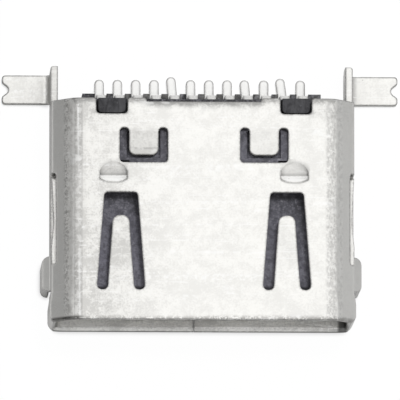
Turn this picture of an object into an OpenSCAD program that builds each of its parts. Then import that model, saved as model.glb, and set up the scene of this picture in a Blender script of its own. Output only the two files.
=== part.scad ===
// Shielded board socket with one row of contacts: a folded sheet shell, a moulded insulator
// and separate bent contacts. X runs across the socket, the plug enters from -Y and the board
// lies on the plane Z = 0. All sizes are millimetres.

/* [Contacts] */
// Number of contacts in the row
contact_count = 12; // [10:1:16]
// Distance between neighbouring contacts
contact_pitch = 0.5; // [0.45:0.01:0.6]
// Width of a contact
contact_width = 0.26; // [0.2:0.01:0.28]
// Thickness of the contact strip
contact_strip = 0.15; // [0.1:0.01:0.18]
// Inside radius of the bends in a contact
contact_bend = 0.1; // [0.05:0.01:0.15]
// How far the contacts stand proud of the tongue's underside
contact_proud = 0.04; // [0.02:0.01:0.06]
// Distance from the tongue's tip to the front ends of the contacts
contact_setback = 0.3; // [0.2:0.01:0.5]
// How far the solder feet reach behind the insulator
foot_reach = 0.55; // [0.4:0.01:0.85]

/* [Shell] */
// Room from the centre of an end contact to the outside of the shell
end_room = 1.37; // [1.25:0.01:1.7]
// Length of the shell from the mouth to its rear edge
shell_length = 6.04; // [5.7:0.01:7]
// Height of the shell above the board
shell_height = 3.3; // [3.1:0.01:3.8]
// Thickness of the shell's sheet
sheet = 0.2; // [0.15:0.01:0.25]
// How far the sloping shoulders reach in from the sides
shoulder_run = 0.6; // [0.45:0.01:0.7]
// How far the sloping shoulders drop from the top
shoulder_drop = 0.8; // [0.6:0.01:0.9]
// Inside radius of the bends beside the top
top_bend = 0.2; // [0.1:0.01:0.3]
// Inside radius of the bends below the shoulders
side_bend = 0.1; // [0.06:0.01:0.2]
// Inside radius of the bends beside the floor
floor_bend = 0.25; // [0.1:0.01:0.3]
// Inside radius of the bends in springs and tabs
form_bend = 0.3; // [0.2:0.01:0.4]
// Corner radius of the windows
cut_corner = 0.11; // [0.05:0.01:0.12]
// Distance from the middle to the folded seam in the floor
seam_offset = 0.16; // [0.1:0.01:0.3]
// Width of the seam
seam_gap = 0.02; // [0.01:0.005:0.06]
// Width of the seam's dovetails at their heads
dovetail_head = 0.72; // [0.6:0.01:0.9]
// Width of the seam's dovetails at their necks
dovetail_neck = 0.5; // [0.4:0.01:0.55]
// How far the dovetails reach across the seam
dovetail_reach = 0.42; // [0.3:0.01:0.6]
// Distance from each end of the shell to a dovetail
dovetail_setback = 1.8; // [1.5:0.01:2]

/* [Mouth] */
// Length of the flared lip
lip_length = 0.82; // [0.5:0.01:0.85]
// How far each side of the lip flares out
lip_flare = 0.045; // [0.02:0.005:0.12]
// Length over which the lip flares out
lip_taper = 0.3; // [0.1:0.01:0.3]
// Size of the bevel that leads the plug in
lip_bevel = 0.09; // [0.04:0.01:0.12]
// Radius of the mouth's outer corners, seen from above
lip_corner = 0.3; // [0.15:0.01:0.35]

/* [Top springs] */
// Distance from the side of the shell to the middle of a top spring
spring_inset = 1.87; // [1.7:0.01:2.1]
// Distance from the mouth to the slots beside a spring's root
spring_root = 0.81; // [0.6:0.01:1]
// Length of the window around a spring
spring_window = 2.66; // [2.4:0.01:2.8]
// Width of the window at the spring's root
spring_window_front = 1.32; // [1.2:0.01:1.4]
// Width of the window past the spring's tip
spring_window_rear = 0.9; // [0.8:0.01:1]
// Width of the slots beside a spring
spring_slot = 0.3; // [0.24:0.01:0.34]
// Width of a spring at its tip
spring_tip = 0.43; // [0.36:0.01:0.5]
// Open length of the window past the spring's tip
spring_gap = 0.63; // [0.4:0.01:0.8]
// Distance from the front ends of the slots to the bend of a spring
spring_lead = 0.26; // [0.15:0.01:0.4]
// Distance from the bend of a spring to its crease
spring_crease = 0.8; // [0.6:0.01:1]
// How far a spring is bent in at its crease
spring_dip = 0.1; // [0.05:0.01:0.26]
// How far the tip of a spring stays below the top
spring_tip_dip = 0.03; // [0:0.01:0.05]

/* [Side springs] */
// Length of a side spring's window
side_window = 2; // [1.8:0.01:2.3]
// Height of a side spring
side_spring_height = 0.5; // [0.35:0.01:0.55]
// Gap around a side spring
side_gap = 0.1; // [0.06:0.01:0.14]
// How far a side spring bows in
side_bow = 0.07; // [0.03:0.01:0.12]
// Distance from the root of a side spring to the deepest point of its bow
side_bow_at = 0.67; // [0.4:0.01:1]
// Wall left between a front leg and a side spring
side_bridge = 0.2; // [0.15:0.01:0.3]
// How far the upper slot runs on past the root of a side spring
side_relief = 0.5; // [0.2:0.01:0.55]
// How far a side window reaches up the shoulder
side_rise = 0.16; // [0.1:0.01:0.2]
// How far the top of a side spring lies below the shoulder
side_drop = 0.04; // [0:0.01:0.1]

/* [Latches] */
// Distance from the side of the shell to the middle of a locking tab
tab_inset = 2.485; // [2.4:0.01:2.7]
// Width of the window around a locking tab
tab_window_width = 1.31; // [1.2:0.01:1.4]
// Length of the window around a locking tab
tab_window_length = 0.95; // [0.8:0.01:1.05]
// Distance from the rear edge to the tab windows
tab_setback = 0.81; // [0.7:0.01:0.9]
// Width of the slots beside a locking tab
tab_slot = 0.26; // [0.2:0.01:0.3]
// Width of the slot in front of a locking tab
tab_bar = 0.215; // [0.15:0.005:0.3]
// Corner radius at the free end of a locking tab
tab_corner = 0.17; // [0.08:0.01:0.24]
// Distance from the rear ends of the slots to the bend of a locking tab
tab_lead = 0.13; // [0.1:0.01:0.2]
// How far the free end of a locking tab is bent in
tab_dip = 0.1; // [0.05:0.01:0.14]
// Distance from the side of the shell to the middle of a pressed stop
stop_inset = 1.665; // [1.55:0.005:1.75]
// Distance from the rear edge to the steep face of a pressed stop
stop_setback = 2.31; // [2:0.01:2.4]
// Run of the steep face of a pressed stop
stop_face = 0.2; // [0.1:0.005:0.25]
// Width of a pressed stop
stop_width = 0.75; // [0.6:0.01:0.8]
// Length of a pressed stop
stop_length = 0.57; // [0.45:0.01:0.6]
// Depth of a pressed stop
stop_depth = 0.12; // [0.08:0.01:0.18]
// Depth of a pressed stop at its rear end
stop_rim = 0.02; // [0.01:0.005:0.04]
// Distance from the side of the shell to the middle of a rear notch
notch_inset = 1.62; // [1.55:0.01:1.75]
// Width of a rear notch
notch_width = 0.86; // [0.75:0.01:0.95]
// Depth of a rear notch
notch_depth = 0.43; // [0.35:0.01:0.5]
// Width of the rear edge between a notch and the middle recess
recess_shoulder = 0.51; // [0.3:0.01:0.7]
// Depth of the middle recess in the rear edge
recess_depth = 0.1; // [0.05:0.01:0.15]
// Chamfer where the notches and the recess open at the rear edge
notch_chamfer = 0.05; // [0.02:0.01:0.08]

/* [Solder tails] */
// Gap between the rear edge of the shell and a solder arm
arm_setback = 0.19; // [0.12:0.01:0.3]
// Width of a solder arm
arm_width = 0.79; // [0.7:0.01:1]
// How far a solder arm stands out from the side of the shell
arm_reach = 1.29; // [1:0.01:1.6]
// Depth of the fishtail at an arm's end
fishtail_depth = 0.25; // [0.15:0.01:0.3]
// Width of each tip beside the fishtail
fishtail_tip = 0.2; // [0.15:0.01:0.22]
// Inside radius of the bend at the foot of the side plates
arm_bend = 0.15; // [0.05:0.01:0.2]
// Height of the side plates above the board
plate_height = 1.6; // [1.2:0.01:2]
// How far the side plates reach past the solder arms
plate_reach = 0.1; // [0.02:0.01:0.2]
// Width of a front leg
leg_width = 0.945; // [0.8:0.01:1]
// Distance from the mouth to a front leg
leg_setback = 0.92; // [0.9:0.01:1]
// Distance from the foot of the shoulders down to where a front leg leaves the wall
leg_drop = 0.6; // [0.5:0.01:0.8]
// Height over which a front leg steps out
leg_step = 0.35; // [0.3:0.01:0.5]
// Width of the slits beside a front leg
leg_slit = 0.05; // [0.03:0.01:0.08]
// Corner radius at the foot of a front leg
leg_corner = 0.12; // [0.05:0.01:0.2]
// Radius of the outer edges of a front leg
leg_round = 0.2; // [0.05:0.01:0.22]
// How far a front leg is stepped out from the side
leg_offset = 0.24; // [0.22:0.01:0.3]

/* [Insulator] */
// How far the insulator's comb stands out behind the shell
comb_depth = 0.33; // [0.28:0.01:0.45]
// Height of the comb above the board
comb_height = 1.5; // [1.2:0.01:1.7]
// Plastic beside the end contacts in the comb
comb_margin = 0.37; // [0.25:0.01:0.5]
// Plastic left in front of the pockets for the pressed stops
base_wall = 0.1; // [0.08:0.01:0.2]
// Room above the tongue for the wall of the plug
plug_gap = 0.48; // [0.4:0.01:0.6]
// Distance from the mouth to the tip of the tongue
tongue_setback = 0.62; // [0.4:0.01:0.9]
// Thickness of the tongue
tongue_thickness = 0.63; // [0.5:0.01:0.7]
// Plastic beside the end contacts
tongue_margin = 0.25; // [0.2:0.01:0.35]
// Radius of the tongue's nose
tongue_nose = 0.12; // [0.05:0.01:0.2]
// Clearance between the insulator and the shell
fit = 0.03; // [0.02:0.005:0.05]
// Clearance beside the tails in the slots of the comb
comb_clearance = 0.03; // [0.02:0.005:0.05]
// Distance from the tails to the rear end of the shell's floor
tail_clearance = 0.35; // [0.2:0.01:0.5]

/* [Hidden] */
contact_names = [for (i = [1 : contact_count]) str("contact_", i < 10 ? "0" : "", i)];
$fn = 48;

// Extra length of a cutting shape, the length by which a bent strip merges into its wall, and the
// thickness of a slice
through = 1;
lap = 0.1;
thin = 0.001;
// Largest turn between two points of an arc in the section, and the rounding of the ends of slots
arc_step = 6;
slot_round = 0.45;
// Radius of the arched rear end of a pressed stop, over its width
stop_arch = 0.55;
// How far outside the lip the round of the mouth's corners would run out
lip_runout = 0.02;
nickel = [0.86, 0.86, 0.85];
black = [0.12, 0.12, 0.13];
tin = [0.9, 0.9, 0.88];

row_half = (contact_count - 1) * contact_pitch / 2;
half_width = row_half + end_room;
mouth_y = -shell_length / 2;
rear_y = shell_length / 2;
shoulder_angle = atan2(shoulder_drop, shoulder_run);
shoulder_foot = shell_height - shoulder_drop;
flat_low = floor_bend + sheet;

// Lengthwise places of the features in the top of the shell
spring_front_y = mouth_y + spring_root;
spring_rear_y = spring_front_y + spring_window;
spring_tip_y = spring_rear_y - spring_gap;
spring_bend_y = spring_front_y + spring_lead;
tab_rear_y = rear_y - tab_setback;
tab_front_y = tab_rear_y - tab_window_length;
tab_bend_y = tab_rear_y - tab_lead;
tab_tip_y = tab_front_y + tab_bar;
notch_y = rear_y - notch_depth;
stop_front_y = rear_y - stop_setback;

// Middle lines of the features on the +X side
spring_x = half_width - spring_inset;
tab_x = half_width - tab_inset;
stop_x = half_width - stop_inset;
notch_x = half_width - notch_inset;

// The front legs and the side springs behind them
leg_front_y = mouth_y + leg_setback;
leg_rear_y = leg_front_y + leg_width;
leg_top = shoulder_foot - leg_drop;
side_root_y = leg_rear_y + side_bridge;
side_rear_y = side_root_y + side_window;
side_high = shoulder_foot - side_drop;
side_low = side_high - side_spring_height;

// The insulator and the contacts it holds
pocket_ease = 2 * fit;
housing_rear_y = rear_y + comb_depth;
base_front_y = stop_front_y - pocket_ease - base_wall;
tongue_y = mouth_y + tongue_setback;
tongue_low = shell_height - sheet - plug_gap - tongue_thickness;
tongue_half = row_half + contact_width / 2 + tongue_margin;
comb_half = row_half + contact_width / 2 + comb_margin;
contact_level = tongue_low - contact_proud;
contact_top = contact_level + contact_strip;
contact_front_y = tongue_y + contact_setback;
tail_front_y = rear_y + contact_bend;
tail_rear_y = tail_front_y + contact_strip;
floor_end_y = tail_front_y - tail_clearance;
foot_end_y = housing_rear_y + foot_reach;
foot_corner = 0.48 * contact_width;

// Sideways lean and extra length of the feet that are a little out of line, by place in the row
foot_lean = [0, 0, 0, 0, -0.05, 0, 0, 0, -0.04, 0, -0.07, 0];
foot_extra = [0, 0, 0, 0, 0.08, 0, 0, 0, 0, 0, 0.05, 0];

function plane(p) = [p.x, p.y];
function unit(v) = v / norm(v);
function cross_z(a, b) = a.x * b.y - a.y * b.x;
function right_of(d) = [d.y, -d.x];
function place(list, i) = i < len(list) ? list[i] : 0;

// Corner k of a counter-clockwise outline of [x, y, radius]:
// its two tangent points, the centre of its arc, the radius, whether it is convex, and the sharp corner
function corner_arc(outline, k) =
    let (n = len(outline),
         p = plane(outline[k]),
         u = unit(plane(outline[(k + n - 1) % n]) - p),
         v = unit(plane(outline[(k + 1) % n]) - p),
         r = outline[k].z)
    r == 0 ? [p, p, p, 0, true, p] :
    let (half = acos(u * v) / 2,
         reach = r / tan(half))
    [p + u * reach, p + v * reach, p + unit(u + v) * r / sin(half), r, cross_z(-u, v) > 0, p];

function outline_arcs(outline) = [for (k = [0 : len(outline) - 1]) corner_arc(outline, k)];

// The same outline as a ring of points, with an equal number of points on every arc that is alike
function arc_points(arc) =
    let (start = arc[0] - arc[2],
         end = arc[1] - arc[2],
         sweep = acos(unit(start) * unit(end)),
         steps = ceil(sweep / arc_step),
         from = atan2(start.y, start.x))
    [for (s = [0 : steps]) arc[2] + arc[3] * [cos(from + sweep * s / steps), sin(from + sweep * s / steps)]];

function ring_points(outline) = [for (arc = outline_arcs(outline)) each arc_points(arc)];

// Outline of a bent strip: path is its left face as [x, y, inside bend radius], the strip lies to its right
function path_way(path, k) = unit(plane(path[k + 1]) - plane(path[k]));

function strip_offset(path, k, t) =
    k == 0 ? right_of(path_way(path, 0)) * t :
    k == len(path) - 1 ? right_of(path_way(path, k - 1)) * t :
    let (a = right_of(path_way(path, k - 1)),
         b = right_of(path_way(path, k)))
    (a + b) / (1 + a * b) * t;

function strip_radius(path, k, t, outer_turn) =
    path[k].z == 0 ? 0 :
    cross_z(path_way(path, k - 1), path_way(path, k)) * outer_turn > 0 ? path[k].z + t : path[k].z;

function strip(path, t) =
    let (last = len(path) - 1)
    concat(
        [for (k = [0 : last])
            let (p = plane(path[k]) + strip_offset(path, k, t))
            [p.x, p.y, strip_radius(path, k, t, 1)]],
        [for (k = [last : -1 : 0]) [path[k].x, path[k].y, strip_radius(path, k, t, -1)]]);

// The folded section, set in from the outside of the sheet and spread sideways by the flare of the lip
function section(inset, flare = 0) =
    let (side = half_width - inset + flare,
         foot = shoulder_foot - inset * tan((90 - shoulder_angle) / 2),
         head = half_width - shoulder_run - inset * tan(shoulder_angle / 2) + flare,
         top = shell_height - inset)
    [[-side, inset, floor_bend + sheet - inset],
     [side, inset, floor_bend + sheet - inset],
     [side, foot, side_bend + sheet - inset],
     [head, top, top_bend + sheet - inset],
     [-head, top, top_bend + sheet - inset],
     [-side, foot, side_bend + sheet - inset]];

// What a rounded corner takes away: the tip outside its arc, or the inside of the arc if it is concave
module corner_cut(arc) {
    past = arc[5] + 0.1 * (arc[5] - arc[2]);
    if (arc[4]) {
        difference() {
            polygon([arc[0], past, arc[1]]);
            translate(arc[2]) circle(arc[3]);
        }
    } else {
        intersection() {
            polygon([arc[0], past, arc[1], arc[2]]);
            translate(arc[2]) circle(arc[3]);
        }
    }
}

module rounded(outline) {
    arcs = outline_arcs(outline);
    difference() {
        polygon([for (arc = arcs) each (arc[4] ? [arc[5]] : [arc[0], arc[1]])]);
        for (arc = arcs) {
            if (arc[3] > 0) corner_cut(arc);
        }
    }
}

module both_sides() {
    children();
    mirror([1, 0, 0]) children();
}

// A flat shape drawn in X and Z, carried along Y
module along_y(from, to) {
    translate([0, to, 0]) rotate([90, 0, 0]) linear_extrude(to - from) children();
}

// A flat shape drawn in Y and Z, carried along X
module along_x(from, to) {
    translate([from, 0, 0]) rotate([90, 0, 90]) linear_extrude(to - from) children();
}

// A flat shape drawn in X and Y, carried up along Z
module along_z(from, to) {
    translate([0, 0, from]) linear_extrude(to - from) children();
}

module through_top() {
    along_z(shell_height - 3 * sheet, shell_height + through) children();
}

// The folded sheet between two places, spread sideways by the flare
module tube(from, to, flare) {
    along_y(from, to) difference() {
        polygon(ring_points(section(0, flare)));
        polygon(ring_points(section(sheet, flare)));
    }
}

// A thin slice of the section, from which the flaring part of the lip is lofted
module slice(y, inset, flare) {
    along_y(y, y + thin) polygon(ring_points(section(inset, flare)));
}

module lip() {
    bevel_y = mouth_y + lip_bevel;
    root_y = mouth_y + lip_length;
    taper_y = root_y - lip_taper;
    round_x = half_width + lip_flare + lip_runout;
    round_y = mouth_y - lip_runout;
    difference() {
        union() {
            intersection() {
                tube(mouth_y, taper_y, lip_flare);
                along_z(-through, shell_height + through) rounded([
                    [-round_x, round_y, lip_corner],
                    [round_x, round_y, lip_corner],
                    [round_x, root_y, 0],
                    [-round_x, root_y, 0]]);
            }
            difference() {
                hull() {
                    slice(taper_y - thin, 0, lip_flare);
                    slice(root_y, 0, 0);
                }
                hull() {
                    slice(taper_y - thin, sheet, lip_flare);
                    slice(root_y, sheet, 0);
                }
            }
        }
        hull() {
            slice(mouth_y - lip_bevel, sheet - 2 * lip_bevel, lip_flare);
            slice(bevel_y, sheet, lip_flare);
        }
    }
}

// Top spring, drawn about its own middle line
function spring_half_at(y) =
    let (root_half = spring_window_front / 2 - spring_slot)
    spring_tip / 2 + (root_half - spring_tip / 2) * (spring_tip_y - y) / (spring_tip_y - spring_front_y);

module spring_window_shape() {
    front = spring_window_front / 2;
    rear = spring_window_rear / 2;
    inner = front - spring_slot;
    bend = spring_half_at(spring_bend_y);
    slot_end = slot_round * spring_slot;
    rounded([
        [rear, spring_rear_y, cut_corner],
        [-rear, spring_rear_y, cut_corner],
        [-front, spring_front_y, slot_end],
        [-inner, spring_front_y, slot_end],
        [-bend, spring_bend_y, 0],
        [bend, spring_bend_y, 0],
        [inner, spring_front_y, slot_end],
        [front, spring_front_y, slot_end]]);
}

module top_spring() {
    start_y = spring_bend_y - lap;
    start = spring_half_at(start_y);
    tip = spring_tip / 2;
    tip_corner = slot_round * spring_tip;
    intersection() {
        through_top() rounded([
            [start, start_y, 0],
            [tip, spring_tip_y, tip_corner],
            [-tip, spring_tip_y, tip_corner],
            [-start, start_y, 0]]);
        along_x(-spring_tip, spring_tip) rounded(strip([
            [start_y, shell_height, 0],
            [spring_bend_y, shell_height, form_bend],
            [spring_bend_y + spring_crease, shell_height - spring_dip, form_bend],
            [spring_tip_y + lap, shell_height - spring_tip_dip, 0]], sheet));
    }
}

// Locking tab, drawn about its own middle line
module tab_window_shape() {
    outer = tab_window_width / 2;
    inner = outer - tab_slot;
    slot_end = slot_round * tab_slot;
    rounded([
        [-outer, tab_front_y, cut_corner],
        [outer, tab_front_y, cut_corner],
        [outer, tab_rear_y, slot_end],
        [inner, tab_rear_y, slot_end],
        [inner, tab_bend_y, 0],
        [-inner, tab_bend_y, 0],
        [-inner, tab_rear_y, slot_end],
        [-outer, tab_rear_y, slot_end]]);
}

module lock_tab() {
    inner = tab_window_width / 2 - tab_slot;
    start_y = tab_bend_y + lap;
    intersection() {
        through_top() rounded([
            [-inner, tab_tip_y, tab_corner],
            [inner, tab_tip_y, tab_corner],
            [inner, start_y, 0],
            [-inner, start_y, 0]]);
        along_x(-tab_window_width, tab_window_width) rounded(strip([
            [tab_tip_y - lap, shell_height - tab_dip, 0],
            [tab_bend_y, shell_height, form_bend],
            [start_y, shell_height, 0]], sheet));
    }
}

// Pressed stop: a flat ramp that deepens toward the mouth and ends in a steep face, arched at the rear
// and alike on both faces of the sheet
module stop_wedge(level) {
    half = stop_width / 2;
    arch = stop_arch * stop_width;
    end_y = stop_front_y + stop_length;
    intersection() {
        along_x(-half, half) polygon([
            [stop_front_y, level],
            [stop_front_y + stop_face, level - stop_depth],
            [end_y + lap, level - stop_rim],
            [end_y + lap, level]]);
        translate([0, end_y - arch, level - through]) cylinder(h = 2 * through, r = arch);
        translate([0, stop_front_y + stop_width, level - through])
            cylinder(h = 2 * through, r = stop_width);
    }
}

// Side spring in the wall on the +X side
module side_window_cut() {
    relief_y = side_root_y - side_relief;
    relief_end = slot_round * (side_rise + side_drop);
    high = shoulder_foot + side_rise;
    along_x(half_width - 3 * sheet, half_width + through) rounded([
        [side_rear_y, side_low - side_gap, side_gap],
        [side_rear_y, high, side_gap],
        [relief_y, high, relief_end],
        [relief_y, side_high, relief_end],
        [side_root_y, side_high, 0],
        [side_root_y, side_low - side_gap, 0]]);
}

module side_spring() {
    start_y = side_root_y - lap;
    tip_y = side_rear_y - side_gap;
    intersection() {
        along_x(half_width - through, half_width + through) rounded([
            [start_y, side_low, 0],
            [tip_y, side_low, side_gap],
            [tip_y, side_high, side_gap],
            [start_y, side_high, 0]]);
        along_z(0, shell_height) rounded(strip([
            [half_width - sheet, start_y, 0],
            [half_width - sheet, side_root_y, form_bend],
            [half_width - sheet - side_bow, side_root_y + side_bow_at, form_bend],
            [half_width - sheet, tip_y + lap, 0]], sheet));
    }
}

// Front leg, struck out of the wall on the +X side and stepped down to the board
module leg_window_cut() {
    translate([half_width - flat_low - leg_slit, leg_front_y - leg_slit, -through])
        cube([through, leg_width + 2 * leg_slit, leg_top - leg_slit + through]);
}

module front_leg() {
    intersection() {
        along_y(leg_front_y, leg_rear_y) rounded(strip([
            [half_width, leg_top + lap, 0],
            [half_width, leg_top, arm_bend],
            [half_width + leg_offset, leg_top - leg_step, arm_bend],
            [half_width + leg_offset, 0, 0]], sheet));
        along_x(half_width - through, half_width + through) rounded([
            [leg_front_y, 0, leg_corner],
            [leg_rear_y, 0, leg_corner],
            [leg_rear_y, leg_top + lap, 0],
            [leg_front_y, leg_top + lap, 0]]);
        along_z(-through, shell_height) rounded([
            [half_width - sheet, leg_front_y, 0],
            [half_width + leg_offset, leg_front_y, leg_round],
            [half_width + leg_offset, leg_rear_y, leg_round],
            [half_width - sheet, leg_rear_y, 0]]);
    }
}

// Side plate behind the shell, bent out at the board into a fishtailed solder arm
module tail_arm() {
    start_y = rear_y - lap;
    arm_y = rear_y + arm_setback;
    end_y = arm_y + arm_width;
    plate_end_y = end_y + plate_reach;
    middle_y = arm_y + arm_width / 2;
    tip_x = half_width + arm_reach;
    inner_x = half_width - sheet;
    plate_low = flat_low + arm_bend;
    plate_corner = 0.45 * sheet;
    tip_corner = 0.45 * fishtail_tip;
    tip_inner = 0.3 * fishtail_tip;
    notch_corner = 0.6 * fishtail_tip;
    intersection() {
        along_y(start_y, plate_end_y) rounded(strip([
            [half_width, plate_height + lap, 0],
            [half_width, sheet, arm_bend],
            [tip_x + lap, sheet, 0]], sheet));
        along_z(-through, shell_height) union() {
            rounded([
                [inner_x - lap, start_y, 0],
                [half_width, start_y, 0],
                [half_width, plate_end_y, plate_corner],
                [inner_x, plate_end_y, plate_corner],
                [inner_x - lap, end_y, 0]]);
            rounded([
                [inner_x, arm_y, 0],
                [tip_x, arm_y, tip_corner],
                [tip_x, arm_y + fishtail_tip, tip_inner],
                [tip_x - fishtail_depth, middle_y, notch_corner],
                [tip_x, end_y - fishtail_tip, tip_inner],
                [tip_x, end_y, tip_corner],
                [inner_x, end_y, 0]]);
        }
        along_x(0, tip_x + through) rounded([
            [start_y, plate_low, 0],
            [arm_y, plate_low, 0],
            [arm_y, -through, 0],
            [end_y, -through, 0],
            [end_y, plate_low, 0],
            [plate_end_y, plate_low, 0],
            [plate_end_y, plate_height, cut_corner],
            [start_y, plate_height, 0]]);
    }
}

// Rear notches for the insulator's stops, and the shallow recess between them
module notch_shape(half, front_y, corner) {
    wide = half + notch_chamfer;
    rounded([
        [-half, front_y, corner],
        [half, front_y, corner],
        [half, rear_y - notch_chamfer, 0],
        [wide, rear_y, 0],
        [wide, rear_y + through, 0],
        [-wide, rear_y + through, 0],
        [-wide, rear_y, 0],
        [-half, rear_y - notch_chamfer, 0]]);
}

// Folded seam in the floor: a straight slit with dovetails that lock its two edges together
module seam_line(grow) {
    left = -seam_offset - grow;
    neck = dovetail_neck / 2 + grow;
    head = dovetail_head / 2 + grow;
    translate([left, mouth_y - through]) square([through, shell_length + 2 * through]);
    for (y = [mouth_y + dovetail_setback, rear_y - dovetail_setback]) {
        polygon([
            [left + lap, y - neck],
            [left, y - neck],
            [left - dovetail_reach, y - head],
            [left - dovetail_reach, y + head],
            [left, y + neck],
            [left + lap, y + neck]]);
    }
}

module seam_cut() {
    along_z(-through, 2 * sheet) difference() {
        seam_line(seam_gap);
        seam_line(0);
    }
}

module floor_cutback() {
    along_z(-through, 2 * sheet) rounded([
        [-tongue_half, floor_end_y, cut_corner],
        [tongue_half, floor_end_y, cut_corner],
        [tongue_half, rear_y + through, 0],
        [-tongue_half, rear_y + through, 0]]);
}

module shell() {
    recess_half = notch_x - notch_width / 2 - recess_shoulder;
    color(nickel) union() {
        difference() {
            union() {
                tube(mouth_y + lip_length, rear_y, 0);
                lip();
            }
            both_sides() {
                translate([spring_x, 0, 0]) through_top() spring_window_shape();
                translate([tab_x, 0, 0]) through_top() tab_window_shape();
                translate([notch_x, 0, 0]) through_top() notch_shape(notch_width / 2, notch_y, cut_corner);
                translate([stop_x, 0, 0]) stop_wedge(shell_height);
                side_window_cut();
                leg_window_cut();
            }
            through_top() notch_shape(recess_half, rear_y - recess_depth, recess_depth / 4);
            seam_cut();
            floor_cutback();
        }
        both_sides() {
            translate([spring_x, 0, 0]) top_spring();
            translate([tab_x, 0, 0]) lock_tab();
            translate([stop_x, 0, 0]) stop_wedge(shell_height - sheet);
            side_spring();
            front_leg();
            tail_arm();
        }
    }
}

// Middle line of contact i in the row
function contact_x(i) = i * contact_pitch - row_half;

module housing_base() {
    top = shell_height - fit;
    block_half = notch_width / 2 - pocket_ease;
    translate([0, 0, -fit]) along_y(base_front_y, rear_y) polygon(ring_points(section(sheet + fit)));
    both_sides() translate([notch_x, 0, 0])
        along_z(shell_height - 2 * sheet, top) rounded([
            [-block_half, notch_y + fit, cut_corner],
            [block_half, notch_y + fit, cut_corner],
            [block_half, rear_y, 0],
            [-block_half, rear_y, 0]]);
    translate([-comb_half, rear_y - lap, sheet]) cube([2 * comb_half, comb_depth + lap, comb_height - sheet]);
}

module tongue() {
    along_x(-tongue_half, tongue_half) rounded([
        [tongue_y, tongue_low, tongue_nose],
        [base_front_y + lap, tongue_low, 0],
        [base_front_y + lap, tongue_low + tongue_thickness, 0],
        [tongue_y, tongue_low + tongue_thickness, tongue_nose]]);
}

// Pockets in the top of the base for the locking tabs and the pressed stops
module latch_pockets() {
    tab_half = tab_window_width / 2 - tab_slot + pocket_ease;
    stop_half = stop_width / 2 + pocket_ease;
    under = shell_height - sheet - pocket_ease;
    both_sides() {
        translate([tab_x - tab_half, tab_tip_y - pocket_ease, under - tab_dip])
            cube([2 * tab_half, tab_bend_y - tab_tip_y + 2 * pocket_ease, through]);
        translate([stop_x - stop_half, stop_front_y - pocket_ease, under - stop_depth])
            cube([2 * stop_half, stop_length + 2 * pocket_ease, through]);
    }
}

module contact_passage(x) {
    slot_half = contact_width / 2 + comb_clearance;
    translate([x - contact_width / 2, contact_front_y, contact_level])
        cube([contact_width, rear_y - contact_front_y + through, contact_strip]);
    translate([x - slot_half, rear_y, 0]) cube([2 * slot_half, comb_depth + through, shell_height]);
}

module housing() {
    color(black) difference() {
        union() {
            housing_base();
            tongue();
        }
        latch_pockets();
        for (i = [0 : contact_count - 1]) contact_passage(contact_x(i));
    }
}

module contact(i) {
    half = contact_width / 2;
    lean = place(foot_lean, i);
    end_y = foot_end_y + place(foot_extra, i);
    kink_y = housing_rear_y + contact_bend;
    color(tin) translate([contact_x(i), 0, 0]) intersection() {
        along_x(-contact_pitch, contact_pitch) rounded(strip([
            [contact_front_y, contact_top, 0],
            [tail_rear_y, contact_top, contact_bend],
            [tail_rear_y, contact_strip, contact_bend],
            [end_y + lap, contact_strip, 0]], contact_strip));
        along_z(-through, shell_height) rounded([
            [-half, contact_front_y, 0],
            [half, contact_front_y, 0],
            [half, kink_y, 0],
            [half + lean, end_y, foot_corner],
            [-half + lean, end_y, foot_corner],
            [-half, kink_y, 0]]);
    }
}

shell();
housing();
for (i = [0 : contact_count - 1]) {
    contact(i);
}
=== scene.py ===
# %% [markdown]
# # A plated board socket, seen from above
#
# The part is a socket only eleven millimetres wide. A folded sheet shell holds a black moulding,
# and the moulding holds a row of twelve bent contacts. All their shapes come from the CAD frame,
# so this lesson is about light and surfaces: how a dull plated sheet, a moulded plastic and a
# tinned strip are told apart when each is a few pixels wide.

# %% Load the CAD frame
import math

import bpy
from mathutils import Matrix, Vector


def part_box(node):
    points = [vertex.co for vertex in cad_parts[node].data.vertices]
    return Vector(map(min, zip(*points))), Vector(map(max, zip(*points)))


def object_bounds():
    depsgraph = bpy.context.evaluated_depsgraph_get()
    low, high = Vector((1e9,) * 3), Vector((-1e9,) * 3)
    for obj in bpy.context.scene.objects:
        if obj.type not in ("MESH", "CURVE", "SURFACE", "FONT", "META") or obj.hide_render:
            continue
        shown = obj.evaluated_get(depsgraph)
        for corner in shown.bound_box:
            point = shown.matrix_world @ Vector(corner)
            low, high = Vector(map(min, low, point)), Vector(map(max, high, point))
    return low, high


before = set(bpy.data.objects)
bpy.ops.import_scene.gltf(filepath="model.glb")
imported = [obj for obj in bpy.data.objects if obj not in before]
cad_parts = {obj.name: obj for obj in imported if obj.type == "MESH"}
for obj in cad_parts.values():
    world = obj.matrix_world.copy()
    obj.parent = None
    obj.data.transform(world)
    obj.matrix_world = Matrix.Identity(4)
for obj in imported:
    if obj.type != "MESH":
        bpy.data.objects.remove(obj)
cad_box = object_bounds()
MM = 0.001
size_mm = [round(side / MM, 2) for side in cad_box[1] - cad_box[0]]
print("nodes:", len(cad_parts), "size in mm:", size_mm)

# %% [markdown]
# ## Where things are
#
# A finish often depends on the place: a fold is rougher than a flat. The places could all be typed in as
# numbers, but then they would drift when the model changes. So the main ones are read from the shell's
# mesh. Its highest points give the flat top, and its foremost point gives the rim of the mouth. The
# finishes below count from these values, in millimetres.

# %% Measure the shell
SAME_LEVEL = 0.001


def span(points, axis):
    """The lowest and highest value of some points along one axis."""
    values = [p[axis] for p in points]
    return min(values), max(values)


shell_points = [v.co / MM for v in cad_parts["shell"].data.vertices]
top_z = span(shell_points, 2)[1]
on_top = [p for p in shell_points if p.z > top_z - SAME_LEVEL]
mouth_y, rear_y = span(on_top, 1)
front_y = span(shell_points, 1)[0]
behind_lip = [p for p in on_top if p.y > 0]
flat_half = span(behind_lip, 0)[1]
print("flat top, mm:", [round(x, 2) for x in (flat_half, mouth_y, rear_y)])

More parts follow.
